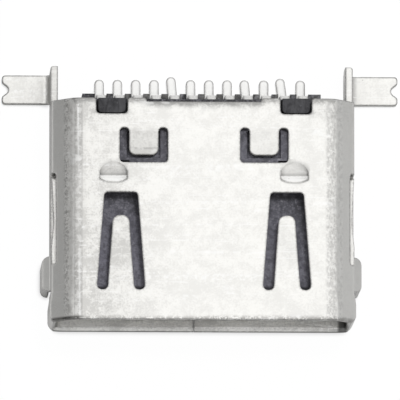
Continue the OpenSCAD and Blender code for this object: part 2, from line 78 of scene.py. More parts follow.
# %% [markdown]
# ## The camera
#
# The picture looks almost straight down, tipped a little toward the mouth, with hardly any perspective.
# A long lens from far away gives that. The camera is placed by three facts: the point in the middle of
# the picture, the direction from there to the camera, and the width that the frame covers. Views from
# other sides keep this lens, and a much longer one left them blank, so the camera isn't farther off.

# %% Place the camera
LOOK_AT = Vector((-0.05, 0.421, 1.697)) * MM
TO_CAMERA = Vector((-0.0377, -0.1154, 0.9926)).normalized()
DISTANCE = 0.4
FRAME_WIDTH = 10.885 * MM
SENSOR_WIDTH = 36

camera_data = bpy.data.cameras.new("camera")
camera_data.sensor_width = SENSOR_WIDTH
camera_data.lens = SENSOR_WIDTH * DISTANCE / FRAME_WIDTH
camera_data.clip_start = DISTANCE / 4
camera_data.clip_end = DISTANCE * 25
camera = bpy.data.objects.new("camera", camera_data)
bpy.context.scene.collection.objects.link(camera)

right = Vector((0, 1, 0)).cross(TO_CAMERA).normalized()
up = TO_CAMERA.cross(right)
turn = Matrix((right, up, TO_CAMERA)).transposed()
camera.matrix_world = Matrix.Translation(LOOK_AT + TO_CAMERA * DISTANCE) @ turn.to_4x4()
bpy.context.scene.camera = camera
bpy.context.scene.view_settings.view_transform = "Standard"
print("lens, mm:", round(camera_data.lens))

# %% [markdown]
# ## Writing shaders as sums
#
# A material is a graph of nodes, and wiring each one by hand hides the idea behind it. This small
# class holds one socket and answers to +, - and *, so a mask can be written as `1 - dust * 0.5`.
# Every expression adds the Math nodes that it needs.


# %% A socket that can be added and multiplied
class Wire:
    """One output socket of a node graph, with arithmetic."""

    def __init__(self, graph, socket):
        self.graph = graph
        self.socket = socket

    def math(self, operation, a, b):
        return self.graph.node("ShaderNodeMath", {"operation": operation}, {0: a, 1: b})

    def __add__(self, other):
        return self.math("ADD", self, other)

    def __radd__(self, other):
        return self.math("ADD", other, self)

    def __sub__(self, other):
        return self.math("SUBTRACT", self, other)

    def __rsub__(self, other):
        return self.math("SUBTRACT", other, self)

    def __mul__(self, other):
        return self.math("MULTIPLY", self, other)

    def __rmul__(self, other):
        return self.math("MULTIPLY", other, self)

    def __abs__(self):
        return self.math("ABSOLUTE", self, 0)

    def most(self, other):
        return self.math("MAXIMUM", self, other)


print("a wire answers to +, -, *, abs and most")

# %% [markdown]
# A second class holds a whole graph. One method adds any node, and the others are the few steps that a
# finish is made of: soft steps, bands, noise, and colours painted over each other through masks.


# %% A graph that makes nodes
class Graph:
    """A node tree, with one method that adds any node."""

    def __init__(self, tree):
        self.tree = tree
        tree.nodes.clear()

    def node(self, kind, settings=None, sockets=None, output=0):
        """Adds a node, sets its settings, then feeds its sockets with wires or plain values."""
        made = self.tree.nodes.new(kind)
        for name, value in (settings or {}).items():
            setattr(made, name, value)
        for key, value in (sockets or {}).items():
            if isinstance(value, Wire):
                self.tree.links.new(value.socket, made.inputs[key])
            else:
                made.inputs[key].default_value = value
        return Wire(self, made.outputs[output]) if made.outputs else made

    def ramp(self, value, low, high):
        """0 below low, 1 above high, and a soft step between them."""
        return self.node("ShaderNodeMapRange", {"interpolation_type": "SMOOTHSTEP"},
                         {"Value": value, "From Min": low, "From Max": high})

    def band(self, value, low, high, soft):
        """1 between low and high, with soft edges."""
        return self.ramp(value, low - soft, low + soft) * (1 - self.ramp(value, high - soft, high + soft))

    def blend(self, factor, a, b):
        """Colour a where the factor is 0 and colour b where it is 1."""
        return self.node("ShaderNodeMix", {"data_type": "RGBA"}, {0: factor, 6: a, 7: b}, output=2)

    def paint(self, tone, layers):
        """Lays colours over a tone, one after another, each through its mask at its strength."""
        for mask, strength, colour in layers:
            tone = self.blend(mask * strength, tone, colour)
        return tone

    def noise(self, place, scale, detail=3, rough=0.5, twist=0):
        """Cloudy noise from 0 to 1, with a scale in spots to the millimetre."""
        return self.node("ShaderNodeTexNoise", {}, {
            "Vector": place, "Scale": scale, "Detail": detail, "Roughness": rough, "Distortion": twist})

    def stretch(self, place, factors, degrees=0, shift=0):
        """The same places, turned about Z, shifted and scaled by three factors."""
        return self.node("ShaderNodeMapping", {"vector_type": "POINT"}, {
            "Vector": place, "Location": (shift, shift, shift),
            "Rotation": (0, 0, math.radians(degrees)), "Scale": factors})

    def part(self, vector, axis):
        """One of the three numbers of a vector: 0, 1 or 2."""
        return self.node("ShaderNodeSeparateXYZ", {}, {0: vector}, output=axis)


print("a graph knows:", [name for name in vars(Graph) if not name.startswith("_")])

# %% [markdown]
# ## The start of every finish
#
# All the finishes share a beginning: a Principled shader, places in millimetres, and a rounded normal.
# Stamped and moulded edges are never razor sharp. They could be bevelled as meshes, but the CAD meshes
# stay as they are, and the Bevel node rounds the light on an edge instead.
#
# The same node gives an edge mask for nothing. On a flat face the rounded normal and the true one agree.
# Close to an edge they part, so one minus their dot product marks every edge and leaves the faces alone.

# %% A finish with its places and its rounded edges
RAYS = 8


class Finish(Graph):
    """A material with a Principled shader."""

    def __init__(self, name, edge_mm):
        self.material = bpy.data.materials.new(name)
        self.material.use_nodes = True
        super().__init__(self.material.node_tree)
        place = self.node("ShaderNodeTexCoord", output="Object")
        self.place = self.node("ShaderNodeVectorMath", {"operation": "SCALE"}, {0: place, "Scale": 1 / MM})
        self.across, self.along, self.height = [self.part(self.place, axis) for axis in range(3)]
        self.facing = self.node("ShaderNodeNewGeometry", output="Normal")
        self.rounded = self.bevel(edge_mm)

    def bevel(self, edge_mm):
        """The normal, as if every edge had that radius."""
        return self.node("ShaderNodeBevel", {"samples": RAYS}, {"Radius": edge_mm * MM})

    def edges(self, low, high):
        """1 along the edges, where the rounded normal leaves the true one."""
        agree = self.node("ShaderNodeVectorMath", {"operation": "DOT_PRODUCT"},
                          {0: self.rounded, 1: self.facing}, output="Value")
        return self.ramp(1 - agree, low, high)

    def open_to(self, direction, reach_mm):
        """1 where nothing stands close by in that direction, down to 0 where it is walled in."""
        way = self.node("ShaderNodeCombineXYZ", {}, dict(enumerate(direction)))
        return self.node("ShaderNodeAmbientOcclusion", {"samples": RAYS},
                         {"Distance": reach_mm * MM, "Normal": way}, output="AO")

    def soften(self, mask, edge_mm):
        """Rounds the edges more where the mask is 1."""
        self.rounded = self.node("ShaderNodeMix", {"data_type": "VECTOR"},
                                 {0: mask, 4: self.rounded, 5: self.bevel(edge_mm)}, output=1)

    def bump(self, height, depth_mm):
        """The rounded normal, with a relief of that depth on it."""
        return self.node("ShaderNodeBump", {}, {
            "Height": height, "Distance": depth_mm * MM, "Normal": self.rounded})

    def close(self, sockets):
        """Feeds the Principled shader and joins it to the output."""
        shader = self.node("ShaderNodeBsdfPrincipled", {}, sockets)
        self.node("ShaderNodeOutputMaterial", {}, {"Surface": shader})
        print("finish:", self.material.name, "with", len(self.tree.nodes), "nodes")
        return self.material


print("a finish adds:", [name for name in vars(Finish) if not name.startswith("_")])

# %% [markdown]
# ## Plated sheet
#
# The shell is stamped from thin copper alloy and plated with dull nickel and tin. The plating is a pale
# metal with a satin gloss. It is mottled where it was handled, it has fine scratches in several directions,
# and the long folds beside the top are coarser, because the sheet's grain opens up when it is bent.
#
# A brushed-metal texture would be wrong here, since the marks have no single direction. Layers of noise do
# better. Each mark gets a mask, which is a number from 0 to 1 that changes over the surface. A layer is a
# mask, its strength and its colour. The next cells collect the layers, and the last one paints them.
#
# The marks share some values. The slope is 1 on a flat face and 0 on an upright one, outward counts from
# the edge of the flat top, and left fades from 1 to 0 across the part, because the left side gets more
# painted shade and its marks differ from those on the right. Three noises of rising fineness break up
# whatever would look too even. A place that isn't measured above is a named pair: the two ends of a soft
# step or the two sides of a band, in millimetres.

# %% What the marks of the sheet share
UPPER_Z = (2.0, 2.4)

plating = Finish("plated_sheet_finish", edge_mm=0.085)
slope = plating.part(plating.facing, 2)
outward = abs(plating.across) - flat_half
left = 1 - plating.ramp(plating.across, -1, 1)
upper = plating.ramp(plating.height, *UPPER_Z)
clouds = plating.noise(plating.place, scale=1.2, detail=6, rough=0.68, twist=0.2)
mottle = plating.noise(plating.place, scale=5, detail=5, rough=0.7, twist=0.3)
grain = plating.noise(plating.place, scale=20, detail=3, rough=0.6)
print("nodes that the marks share:", len(plating.tree.nodes))

# %% [markdown]
# ### Shoulders, walls and legs
#
# Beside the flat top the sheet slopes down in two shoulders and drops in two side walls, and a leg stands
# out from each wall near the mouth. In the picture these are even greys. Dark cards round the part could
# give all of that, but every other face would mirror the cards too. So these faces get a painted shade, a
# darker colour in place of the darker surroundings that they mirror, and it stays where it belongs.

# %% Painted shade on the faces beside the top
SHOULDER_PAINTED_SHADE = (0.59, 0.588, 0.575, 1)
WALL_PAINTED_SHADE = (0.36, 0.358, 0.35, 1)
SHOULDER_OUTWARD = (0.2, 0.34)
LEFT_FOLD_WIDER = 0.13
WALL_OUTWARD = (0.6, 0.7)
LEG_OUTWARD = (0.82, 0.86)
LEG_REAR_Y = (-0.5, 0)

shoulder = plating.ramp(outward - left * LEFT_FOLD_WIDER, *SHOULDER_OUTWARD)
shoulder = shoulder * (1 - plating.ramp(slope, 0.7, 0.8))
upright = plating.ramp(outward, *WALL_OUTWARD) * (1 - plating.ramp(slope, 0.2, 0.4))
behind_mouth = plating.ramp(plating.along, mouth_y + 0.05, mouth_y + 0.35)
behind_shell = plating.ramp(plating.along, rear_y, rear_y + 0.1)
wall = upright * behind_mouth * (1 - behind_shell * (1 - left) * 0.6)
leg = plating.ramp(outward, *LEG_OUTWARD) * (1 - plating.ramp(plating.along, *LEG_REAR_Y))
# painted shade on the shoulders, walls and legs
face_shade_layers = [
    (shoulder, 0.65, SHOULDER_PAINTED_SHADE),
    ((wall * 0.55).most(leg * 0.35), 1, WALL_PAINTED_SHADE)]
print("layers of the faces:", len(face_shade_layers))

# %% [markdown]
# ### The mouth
#
# In front of the top the picture shows the lower lip of the mouth, from above. Its sheared rim and a fine
# line just behind the rim are dark, and the corner on the right lies in deep shade: all three are painted
# shade. A lamp could cast that shade, but its shadow would fall on the table as well, so the shades are
# masks.

# %% Painted shades of the lower lip
RIM_PAINTED_SHADE = (0.15, 0.149, 0.145, 1)
LIP_LINE_PAINTED_SHADE = (0.25, 0.248, 0.24, 1)
CORNER_PAINTED_SHADE = (0.06, 0.06, 0.06, 1)
LIP_TOP_Z = (0.3, 0.4)
CORNER_X = (3.77, 4.02)
CORNER_TOP_Z = (1.0, 1.6)
CORNER_REAR_Y = (-2, -1)

low_down = 1 - plating.ramp(plating.height, *LIP_TOP_Z)
brim = low_down * (1 - plating.ramp(plating.along, front_y + 0.01, front_y + 0.03))
lip_line = plating.band(plating.along, front_y + 0.09, front_y + 0.135, soft=0.012)
lip_line = lip_line * low_down * (0.4 + left * 0.5)
inward = plating.ramp(slope - plating.part(plating.facing, 0), 0.1, 0.4)
corner = plating.band(plating.across, *CORNER_X, soft=0.05) * inward
corner = corner * (1 - plating.ramp(plating.height, *CORNER_TOP_Z))
corner = corner * (1 - plating.ramp(plating.along, *CORNER_REAR_Y))
lip_shade_layers = [
    # painted shade on the rim, the line behind it and the right corner
    (brim, 0.75, RIM_PAINTED_SHADE),
    (lip_line, 0.55, LIP_LINE_PAINTED_SHADE),
    (corner, 0.82, CORNER_PAINTED_SHADE)]
print("layers of the lip:", len(lip_shade_layers))

# %% [markdown]
# The front edge of the top is darker in a ragged band. A straight dark line would look drawn on. A
# threshold on two mixed noises eats into it, and a painted shade darkens its ends, the left one most.

# %% The ragged front edge
FRONT_EDGE_GREY = (0.34, 0.335, 0.32, 1)
FRONT_END_PAINTED_SHADE = (0.05, 0.049, 0.045, 1)

ragged = plating.ramp(mottle * 0.6 + grain * 0.4, 0.40, 0.54)
front_edge = 1 - plating.ramp(plating.along + left * 0.025, mouth_y + 0.02, mouth_y + 0.16)
front_rim = 1 - plating.ramp(plating.along, mouth_y + 0.05, mouth_y + 0.12)
rim_ends = plating.ramp(outward, -0.12, 0.1) * left + shoulder * (1 - left) * 0.3
front_layers = [
    # painted shade at the ends of the front rim
    (front_rim * rim_ends * upper, 0.95, FRONT_END_PAINTED_SHADE),
    (front_edge * upper * ragged, 0.8, FRONT_EDGE_GREY)]
print("layers of the front edge:", len(front_layers))

# %% [markdown]
# ### The pressed stops
#
# Behind each window a small stop is pressed into the top: a ramp that deepens toward the mouth and ends in
# a steep face. The CAD solid has that shape, but it is only a tenth of a millimetre deep, so light alone
# hardly shows it. The ramp gets a painted shade that grows toward its foot and its sides, the steep face
# gets a painted highlight, and a thin dark line runs along its hem. The ramp was pressed and not cut, so
# its edges are rounded more than the rest. The hem's edge mask comes first, since it needs the finer
# rounding.

# %% Ramp, steep face and hem of the stops
STOP_OUTWARD = (-1.25, -0.45)
STOP_HEM_Y = (0.66, 0.82)
STOP_FACE_Y = (0.70, 0.91)
STOP_RAMP_Y = (0.92, 1.36)
SOFTER_Y = (0.98, 1.06)
WIDE_EDGE = 0.3

stop = plating.band(outward, *STOP_OUTWARD, soft=0.02) * upper
below_top = 1 - plating.ramp(plating.height, top_z - 0.04, top_z - 0.01)
steep_face = stop * plating.band(plating.along, *STOP_FACE_Y, soft=0.01) * below_top
hem = stop * plating.band(plating.along, *STOP_HEM_Y, soft=0.02) * plating.edges(0.0005, 0.006)
stop_ramp = stop * plating.band(plating.along, *STOP_RAMP_Y, soft=0.01)
plating.soften(stop_ramp * plating.ramp(plating.along, *SOFTER_Y), WIDE_EDGE)
print("nodes with the stops:", len(plating.tree.nodes))

# %% The painted shade, painted highlight and dark hem of the stops
STOP_PAINTED_SHADE = (0.30, 0.297, 0.29, 1)
HIGHLIGHT_AND_SCRATCH_WHITE = (1.0, 1.0, 0.99, 1)
DARK_LINE_AND_SHADE = (0.40, 0.396, 0.385, 1)
STOP_MIDDLE_X = 2.46
STOP_FOOT_Y = (0.92, 1.02)
SUNK_OUTWARD = (-0.3, -0.2)

sunk = 1 - plating.ramp(plating.height, top_z - 0.15, top_z)
sunk = sunk * upper * (1 - plating.ramp(outward, *SUNK_OUTWARD))
foot = 1 - plating.ramp(plating.along, *STOP_FOOT_Y)
aside = plating.across + (left * 2 - 1) * STOP_MIDDLE_X
right_side = plating.ramp(aside, 0.0, 0.38) * 0.6 + plating.ramp(aside, 0.30, 0.36)
left_side = (1 - plating.ramp(aside, -0.36, -0.22)) * (1 - plating.ramp(plating.along, 1.0, 1.16))
stop_shade = 0.3 + left * 0.12 + foot * 0.4 + (right_side + left_side) * 0.45
stop_layers = [
    # painted shade on the ramps, painted highlight on the steep faces, a dark line on the hems
    (stop_ramp * sunk * stop_shade, 1, STOP_PAINTED_SHADE),
    (steep_face, 0.8, HIGHLIGHT_AND_SCRATCH_WHITE),
    (hem, 0.6, DARK_LINE_AND_SHADE)]
print("layers of the stops:", len(stop_layers))

# %% [markdown]
# ### The locking tabs
#
# Two tabs between the stops and the rear edge are cut free on three sides and bent in, to lock the moulding
# in the shell. They are darker than the top, the left one most, and a faint darker line crosses the left
# one just behind its free end. A texture over the whole top would miss it, so the tab is found by its
# place.

# %% The darker line on the tab
TAB_OUTWARD = (-2.06, -1.26)
TAB_Y = (1.45, 2.15)
SCUFF_Y = (1.63, 1.67)

tab = plating.band(outward, *TAB_OUTWARD, soft=0.03) * plating.band(plating.along, *TAB_Y, soft=0.1)
tab = tab * upper
tab_dark_line = tab * plating.band(plating.along, *SCUFF_Y, soft=0.03) * left * plating.ramp(mottle, 0.35, 0.55)
tab_layers = [(tab_dark_line, 0.7, DARK_LINE_AND_SHADE)]
print("layers of the tabs:", len(tab_layers))

# %% [markdown]
# ### Rear plates and solder arms
#
# Two plates stand behind the shell and end in arms that are soldered to the board. They are pale on a white
# table and would melt into it. On the real part the cut edges are bare and dull and their faces lie in
# shade, which draws a thin outline round them, and the edge mask paints that outline as dull metal and
# painted shade. The root of the right arm, in the shade of its plate, gets a painted shade of the same
# grey.

# %% Outlines of the plates and arms, and painted shade at the right arm's root
EDGE_AND_SHADE_GREY = (0.40, 0.397, 0.39, 1)
PLATE_Z = (1.0, 1.2)
OUTERMOST = (0.95, 1.05)
ROOT_OUTWARD = (0.75, 0.96)
ROOT_TOP_Z = (0.3, 0.5)
ROOT_Y = (2, 3)

plate = behind_shell * plating.ramp(plating.height, *PLATE_Z)
outermost = plating.ramp(outward, *OUTERMOST)
outline = plate.most(outermost) * plating.edges(0.001, 0.04)
arm_root_shade = plating.band(outward, *ROOT_OUTWARD, soft=0.05) * (1 - plating.ramp(plating.height, *ROOT_TOP_Z))
arm_root_shade = arm_root_shade * (1 - left) * plating.ramp(plating.along, *ROOT_Y)
arm_layers = [
    (outline, 0.65, EDGE_AND_SHADE_GREY),
    # painted shade at the root of the right arm
    (arm_root_shade, 0.6, EDGE_AND_SHADE_GREY)]
print("layers of the arms:", len(arm_layers))

# %% [markdown]
# ### The rear edge of the top
#
# The rear edge gets a painted shade, a dark border of uneven width. The edge mask is too thin for that. A
# Bevel node with a wide radius tilts the normal backward well before the edge, so the tilt itself is the
# mask, and the mottling makes it uneven.

# %% The painted shade on the rear edge
tilt = plating.part(plating.bevel(WIDE_EDGE), 1)
tilt = tilt * plating.ramp(plating.along, rear_y - 0.5, rear_y - 0.35) * upper
rear_edge_shade = tilt * (1.4 + 2.4 * plating.ramp(mottle, 0.36, 0.6)) * plating.ramp(slope, 0.7, 0.9)
rear_layers = [(rear_edge_shade, 1, DARK_LINE_AND_SHADE)]
print("layers of the rear edge:", len(rear_layers))

# %% [markdown]
# ### The two long folds
#
# The folds are told apart by how far a point lies outside the flat top. Close to the flat runs a bright
# line, a painted highlight, and it is strongest toward the ends. Outside it the grain is open and
# streaky. The left fold is the coarser one: it has a dull crease, and a row of dark flecks follows its end.

# %% Open grain of the folds
CREASE_OUTWARD = (-0.03, 0.19)
FOLD_ENDS_Y = (0.7, 1.7)

near_top = plating.ramp(plating.height, top_z - 0.6, top_z - 0.5)
fold_ends = plating.ramp(abs(plating.along), *FOLD_ENDS_Y)
slanted = plating.stretch(plating.place, (1, 0.6, 1), degrees=18)
streaks = plating.noise(slanted, scale=14, detail=4, rough=0.7)
fold_width = 0.28 + left * 0.08
fold = plating.band(outward, 0.0, fold_width, soft=0.05) * near_top * plating.ramp(streaks, 0.38, 0.58)
crease = plating.band(outward, *CREASE_OUTWARD, soft=0.025) * near_top * left * (0.76 + fold_ends * 0.22)
open_grain = (fold * (0.8 - left * 0.54)).most(crease)
print("nodes with the open grain:", len(plating.tree.nodes))

# %% Painted highlight line and flecks
LINE_OUTWARD = 0.075
LINE_SLANT = 0.0093
LINE_HALF = (0.015, 0.035)
REAR_END_Y = (2.1, 2.6)
FLECKS_OUTWARD = (0.35, 0.47)

spots = plating.noise(plating.place, scale=15, detail=3, rough=0.7)
off_line = abs(outward - LINE_OUTWARD - plating.along * LINE_SLANT)
fold_highlight_line = (1 - plating.ramp(off_line, *LINE_HALF)) * near_top * plating.ramp(spots, 0.34, 0.48)
fold_highlight_line = fold_highlight_line * (0.12 + fold_ends * 0.88 + plating.ramp(plating.along, *REAR_END_Y) * 0.6)
fold_highlight_line = fold_highlight_line * (0.25 + left * 0.75)
flecks = plating.band(outward, *FLECKS_OUTWARD, soft=0.05) * near_top * left
flecks = flecks * (0.2 + 0.8 * plating.ramp(spots, 0.46, 0.6))
print("nodes with the folds:", len(plating.tree.nodes))

# %% [markdown]
# Both folds are finely pitted, the right one less. One noise gives the pits and the bright rims between
# them: its high values are dark, its low values are bright, and the middle stays as it is.

# %% Pits of the folds
FOLD_GREY = (0.53, 0.524, 0.508, 1)
PIT_GREY = (0.26, 0.257, 0.25, 1)
PIT_RIM = (0.95, 0.945, 0.93, 1)
FLECK_GREY = (0.16, 0.158, 0.15, 1)
PITTED_OUTWARD = (0.0, 0.46)
DEEPER_OUTWARD = (0.28, 0.38)
PITTED_Z = (2.6, 2.7)

stipple = plating.noise(plating.place, scale=8, detail=3, rough=0.65)
pitted = plating.band(outward, *PITTED_OUTWARD, soft=0.04) * plating.ramp(plating.height, *PITTED_Z)
pitted = pitted * (0.45 + left * 0.55)
pits = pitted * plating.ramp(stipple, 0.50, 0.60) * (0.14 + plating.ramp(outward, *DEEPER_OUTWARD) * 0.2)
pit_rims = pitted * (1 - plating.ramp(stipple, 0.42, 0.52))
fold_layers = [
    (open_grain, 0.85, FOLD_GREY),
    (pits, 1, PIT_GREY),
    (pit_rims, 0.42, PIT_RIM),
    (flecks, 0.5, FLECK_GREY),
    # painted highlight along the folds
    (fold_highlight_line, 0.45, HIGHLIGHT_AND_SCRATCH_WHITE)]
print("layers of the folds:", len(fold_layers))

# %% [markdown]
# ### Scratches, specks and edges
#
# A scratch is long and thin. It could be drawn as a curve, but dozens would be needed. Noise that is
# stretched twentyfold has long level lines, and a narrow band around one level is a set of scratches. A
# second noise keeps them in patches, and the shift moves each set, so that no two sets fall together.


# %% Scratches as level lines of stretched noise
def scratches(finish, degrees, spread, width, shift):
    """Thin long lines along one direction, 1 on a line and 0 beside it."""
    place = finish.stretch(finish.place, (0.05, spread, 1), degrees, shift)
    level = abs(finish.noise(place, scale=1.0, detail=0.5, rough=0.4) - 0.5)
    line = 1 - finish.ramp(level, 0, width)
    cloudy = finish.noise(finish.place, scale=0.55, detail=2, rough=0.5, twist=shift)
    return line * finish.ramp(cloudy, 0.46, 0.62)


lines = scratches(plating, degrees=62, spread=2.2, width=0.020, shift=3.1)
lines = lines.most(scratches(plating, degrees=-34, spread=1.8, width=0.018, shift=8.7))
lines = lines.most(scratches(plating, degrees=24, spread=2.6, width=0.016, shift=15.2))
print("nodes with the scratches:", len(plating.tree.nodes))

# %% Specks, and dull edges with painted shade
SPECK_GREY = (0.35, 0.34, 0.32, 1)
DULL_EDGE_AND_SHADE = (0.28, 0.275, 0.27, 1)

speck_distance = plating.node("ShaderNodeTexVoronoi", {}, {"Vector": plating.place, "Scale": 1.3})
specks = 1 - plating.ramp(speck_distance, 0.015, 0.035)
# the rim is dull cut metal and painted shade on the edge faces
rim = plating.edges(0.004, 0.08) * (0.4 + 0.6 * plating.ramp(grain, 0.4, 0.6)) * (1 - stop_ramp)
wear_and_edge_shade_layers = [
    (lines * (1 - shoulder), 0.6, HIGHLIGHT_AND_SCRATCH_WHITE),
    (specks, 0.5, SPECK_GREY),
    (rim, 0.7, DULL_EDGE_AND_SHADE)]
print("layers of wear:", len(wear_and_edge_shade_layers))

# %% [markdown]
# ### Tarnish and painted shade
#
# Tarnish is a slow, cloudy dulling, and it lies in patches everywhere. The same mask also paints shade: on
# the left of the top and along its left border, on the left plate and arms, on what is sunk below the top
# and inside the mouth. It is also darker on the tabs and at the rear corners. All these add up to one mask,
# since separate layers would each have an edge of their own.

# %% Where the plating is tarnished or painted with shade
TARNISH_AND_SHADE = (0.66, 0.652, 0.63, 1)
FLOOR_TOP_Z = (0.4, 0.6)
WALL_OUTSIDE = (0.85, 0.95)
CORNER_OUTWARD = (-0.55, -0.45)
CORNER_Y = (2.3, 2.55)
BORDER_OUTWARD = (-0.12, 0.02)

patches = plating.ramp(clouds * 0.4 + mottle * 0.35 + grain * 0.25, 0.42, 0.58)
shaded_left_top = upper * (1 - plating.ramp(plating.across, -1.1 * flat_half, -0.15 * flat_half))
shaded_left_top = shaded_left_top * (1.1 - 0.5 * plating.ramp(plating.along, -1, 2.5)) * (1 - plating.ramp(outward, 0.05, 0.15))
inside = 1 - plating.ramp(plating.height, *FLOOR_TOP_Z).most(plating.ramp(outward, *WALL_OUTSIDE))
rear_corner = plating.ramp(outward, *CORNER_OUTWARD) * plating.ramp(plating.along, *CORNER_Y) * upper
left_border = plating.band(outward, *BORDER_OUTWARD, soft=0.04) * upper * left
print("nodes with the worn places:", len(plating.tree.nodes))

# %% Add the tarnish and the painted shade up
# tarnish in patches, plus painted shade on the left, in sunk places, inside the mouth and on the left plate
tarnish_and_shade = patches * (0.34 + shaded_left_top * 0.5 + inside * 0.5) + shaded_left_top * 0.3 + sunk * (0.25 + shaded_left_top * 0.3)
tarnish_and_shade = (tarnish_and_shade + plate * left * 0.5 + tab * (0.15 + left * 0.35)) * (1 - steep_face)
tarnish_and_shade = tarnish_and_shade + rear_corner * (0.15 + patches * 0.25)
tarnish_and_shade = tarnish_and_shade + outermost * left * 0.12 + left_border * 0.2
print("nodes with the tarnish:", len(plating.tree.nodes))

# %% [markdown]
# The layers go on from the broad to the fine: first the tarnish and the painted shades of whole faces, then
# the marks, painted shades and painted highlights of pressing and folding, and last the edges and the
# scratches.

# %% Paint the plating
DULL_PLATING = (0.94, 0.932, 0.902, 1)
PALE_PLATING = (0.985, 0.977, 0.946, 1)

layers = [(tarnish_and_shade, 1, TARNISH_AND_SHADE)] + face_shade_layers + lip_shade_layers + tab_layers + stop_layers + arm_layers
layers = layers + fold_layers + front_layers + rear_layers + wear_and_edge_shade_layers
relief = grain * 0.5 + mottle * 0.5 + open_grain + flecks - lines * 0.4
plated_sheet = plating.close({
    "Base Color": plating.paint(plating.blend(clouds, DULL_PLATING, PALE_PLATING), layers),
    "Metallic": 1.0,
    "Specular Tint": (0.5, 0.5, 0.5, 1),
    "Roughness": 0.30 + mottle * 0.16 + open_grain * 0.1,
    "Normal": plating.bump(relief, depth_mm=0.005)})

# %% [markdown]
# ## Black moulding
#
# The insulator is a filled plastic: nearly black, faintly blue, with a dull moulded skin that is a little
# uneven, and pale dust in its corners. A plain dark colour looks like a hole in the picture. A slow change
# of tone, a fine mottle and a sparkle of dust make it a surface.
#
# The tongue under the shell's windows is greyer than the blocks behind it, and on its upward faces it also
# gets painted light, growing toward the mouth and to the left, and under the tabs to the right. The comb at
# the rear is a warm, dusty grey. What is buried lies deeper than the sheet of the top is thick.

# %% Grey places of the plastic, and painted light on the tongue
WINDOWS_Y = (-1.2, 0.6)
UNDER_TABS_Y = (1.3, 2.4)
BLOCKS_Y = (2.4, 2.7)
COMB_ENDS_X = (2.0, 2.5)

plastic = Finish("black_moulding_finish", edge_mm=0.03)
flow_lines = plastic.stretch(plastic.place, (1, 0.45, 1), degrees=12)
flow = plastic.noise(flow_lines, scale=5, detail=4, rough=0.6, twist=0.8)
buried = 1 - plastic.ramp(plastic.height, top_z - 0.3, top_z - 0.15)
leftward = 1 - plastic.ramp(plastic.across, -2.5, 2.5)
toward_mouth = 1 - plastic.ramp(plastic.along, *WINDOWS_Y)

under_top = 0.30 + leftward * 0.02 + toward_mouth * (0.34 + leftward * 0.12)
under_top = under_top * (1 - plastic.ramp(plastic.along, *BLOCKS_Y))
under_tabs = plastic.band(plastic.along, *UNDER_TABS_Y, soft=0.1) * (0.06 + (1 - leftward) * 0.24)
facing_up = plastic.ramp(plastic.part(plastic.facing, 2), 0.6, 0.8)
tongue_and_light = buried * (under_top + under_tabs) * facing_up

comb = plastic.ramp(plastic.along, rear_y, rear_y + 0.06) * plastic.ramp(flow, 0.3, 0.6)
comb = comb * (1 - plastic.ramp(abs(plastic.across), *COMB_ENDS_X) * 0.6)
print("nodes for the grey places:", len(plastic.tree.nodes))

# %% [markdown]
# The windows are narrow and deep, so the plastic under them is darkest along their right and rear edges.
# An occlusion node that looks that way, instead of straight up, gives this shade its side. The front ends
# of the long slots are dark as well, and the mottle of the skin makes the shade uneven.

# %% Shade under the windows
TOWARD_SHADE = (0.45, 0.35, 0.82)
SLOT_END_Y = (-2.1, -2.01)

uneven = plastic.noise(plastic.place, scale=9, detail=4, rough=0.65)
slot_end = buried * (1 - plastic.ramp(plastic.along, *SLOT_END_Y))
shade = 1 - plastic.ramp(plastic.open_to(TOWARD_SHADE, reach_mm=0.9), 0.02, 0.42)
shade = shade * (0.8 + 0.9 * plastic.ramp(uneven, 0.36, 0.56))
print("nodes with the shade:", len(plastic.tree.nodes))

# %% Paint the plastic
DEEP_BLACK = (0.018, 0.018, 0.020, 1)
SOFT_BLACK = (0.056, 0.056, 0.060, 1)
TONGUE_GREY_AND_LIGHT = (0.20, 0.196, 0.235, 1)
COMB_GREY = (0.15, 0.147, 0.135, 1)
DUST = (0.45, 0.44, 0.47, 1)
DARK_MOTTLE = (0.045, 0.045, 0.05, 1)
PALE_MOTTLE = (0.30, 0.296, 0.335, 1)
SLOT_BLACK = (0.006, 0.006, 0.007, 1)

dust = plastic.ramp(plastic.noise(plastic.place, scale=15, detail=3, rough=0.7, twist=0.3), 0.58, 0.74)
plastic_layers = [
    # greyer tongue with painted light on it
    (tongue_and_light, 1, TONGUE_GREY_AND_LIGHT),
    (comb, 0.55, COMB_GREY),
    (dust, 0.12 + buried * 0.4, DUST),
    (plastic.ramp(uneven, 0.50, 0.62) * buried, 0.45, DARK_MOTTLE),
    ((1 - plastic.ramp(uneven, 0.38, 0.5)) * buried, 0.25, PALE_MOTTLE),
    (shade.most(slot_end * 0.8), 1, SLOT_BLACK)]
black = plastic.blend(plastic.ramp(flow, 0.3, 0.7), DEEP_BLACK, SOFT_BLACK)
skin = plastic.noise(plastic.place, scale=26, detail=2, rough=0.5)
black_moulding = plastic.close({
    "Base Color": plastic.paint(black, plastic_layers),
    "Roughness": 0.46 + flow * 0.2 + dust * 0.1,
    "Specular IOR Level": 0.2,
    "Normal": plastic.bump(skin * 0.6 + flow * 0.4, depth_mm=0.004)})

# %% [markdown]
# ## Tinned and gilded contacts
#
# Each contact is one strip with two platings. The solder foot is tinned, so it is pale and soft. The beam
# that meets the plug, under the tongue, has a gold flash. On the real strip the change between them is
# hidden inside the moulding, so the blend is placed there. The upper bend, where the strip leaves the
# comb, is greyer than the foot. The cut edges are bare and dull too and their faces lie in shade, so the
# edge grey is dull metal and painted shade, and it is what shows the thin feet against white paper.

